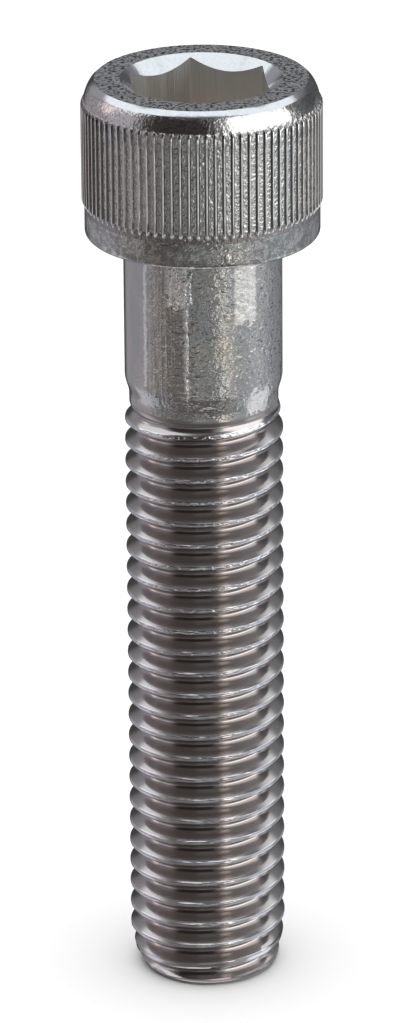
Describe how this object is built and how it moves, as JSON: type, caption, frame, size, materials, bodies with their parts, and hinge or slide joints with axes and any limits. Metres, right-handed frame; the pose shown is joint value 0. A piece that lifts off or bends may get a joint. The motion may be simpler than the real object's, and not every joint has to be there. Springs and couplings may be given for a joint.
{
  "type": "hex socket cap screw",
  "caption": "Hex socket cap screw with a knurled cylindrical head, a plain shank and a rolled metric thread, in stainless steel.",
  "frame": {"origin": "centre of the flat end face, on which the screw stands", "axes": "+Z along the screw's axis from the threaded end to the head; +Y away from the viewer of the picture, +X to the right"},
  "size_m": [0.018, 0.018, 0.072],
  "materials": {
    "stainless_steel": "bare stainless steel, satin forged head and shank with handling marks, smooth rolled thread"
  },
  "bodies": {
    "root": {"cap_screw": "stainless_steel"}
  },
  "joints": []
}
